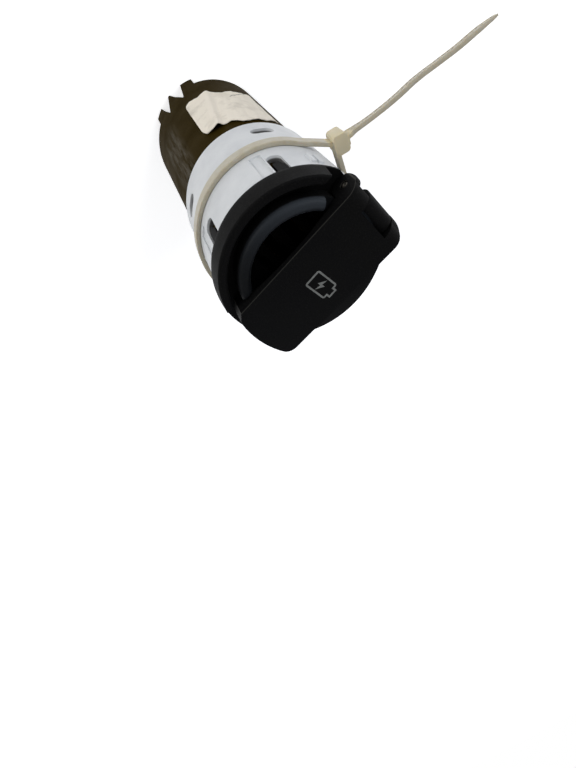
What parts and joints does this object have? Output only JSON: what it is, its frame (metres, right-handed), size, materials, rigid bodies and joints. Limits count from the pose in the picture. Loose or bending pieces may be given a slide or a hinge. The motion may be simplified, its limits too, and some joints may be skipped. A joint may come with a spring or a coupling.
{
  "type": "car usb socket",
  "caption": "Round panel-mounted car charging socket: black bezel with a sprung hinged lid, white retaining ring, dark barrel with a keyed rear skirt, paper label and a nylon cable tie.",
  "frame": {"origin": "centre of the back face of the bezel's flange, where the socket meets the panel's opening", "axes": "+Z along the socket's axis out of the panel, +X towards the lid's finger tab, +Y towards the lid's hinge"},
  "size_m": [0.0346, 0.0711, 0.083],
  "materials": {
    "black_trim": "finely textured black moulding",
    "icon_ink": "light grey pad print",
    "pin_steel": "drawn wire",
    "spring_steel": "spring wire",
    "white_ring": "smooth white moulding",
    "housing_plastic": "dark brown-black moulding, satin",
    "port_plastic": "black moulding",
    "port_shell": "black nickel plated sheet",
    "tongue_plastic": "black moulding",
    "contact_gold": "gold plated",
    "board_laminate": "solder mask",
    "ferrite": "moulded ferrite",
    "capacitor_sleeve": "shrink sleeve",
    "chip_epoxy": "moulded epoxy",
    "chip_ceramic": "ceramic chips",
    "connector_plastic": "dark grey moulding",
    "terminal_brass": "tinned brass",
    "label_paper": "creased cream paper",
    "natural_nylon": "natural nylon, translucent"
  },
  "bodies": {
    "socket": {"bezel": "black_trim", "hinge_pin": "pin_steel", "lid_spring": "spring_steel", "retaining_ring": "white_ring", "housing": "housing_plastic", "port_face": "port_plastic", "usb_shell_upper": "port_shell", "usb_shell_lower": "port_shell", "usb_tongue_upper": "tongue_plastic", "usb_tongue_lower": "tongue_plastic", "usb_contacts_upper": "contact_gold", "usb_contacts_lower": "contact_gold", "charger_board": "board_laminate", "inductor": "ferrite", "input_capacitor": "capacitor_sleeve", "output_capacitor": "capacitor_sleeve", "control_chip": "chip_epoxy", "chip_parts": "chip_ceramic", "connector_block": "connector_plastic", "power_terminal": "terminal_brass", "ground_terminal": "terminal_brass", "label": "label_paper", "cable_tie": "natural_nylon"},
    "lid": {"lid": "black_trim", "lid_icon": "icon_ink"}
  },
  "joints": [
    {"name": "lid_hinge", "type": "hinge", "parent": "socket", "child": "lid", "pos_m": [0.0021, 0.01435, 0.003], "axis": [-1, 0, 0], "range_deg": [0, 92], "stiffness_Nm_per_rad": 0.0008, "springref_deg": -68.75, "deforming": ["lid_spring"]}
  ]
}
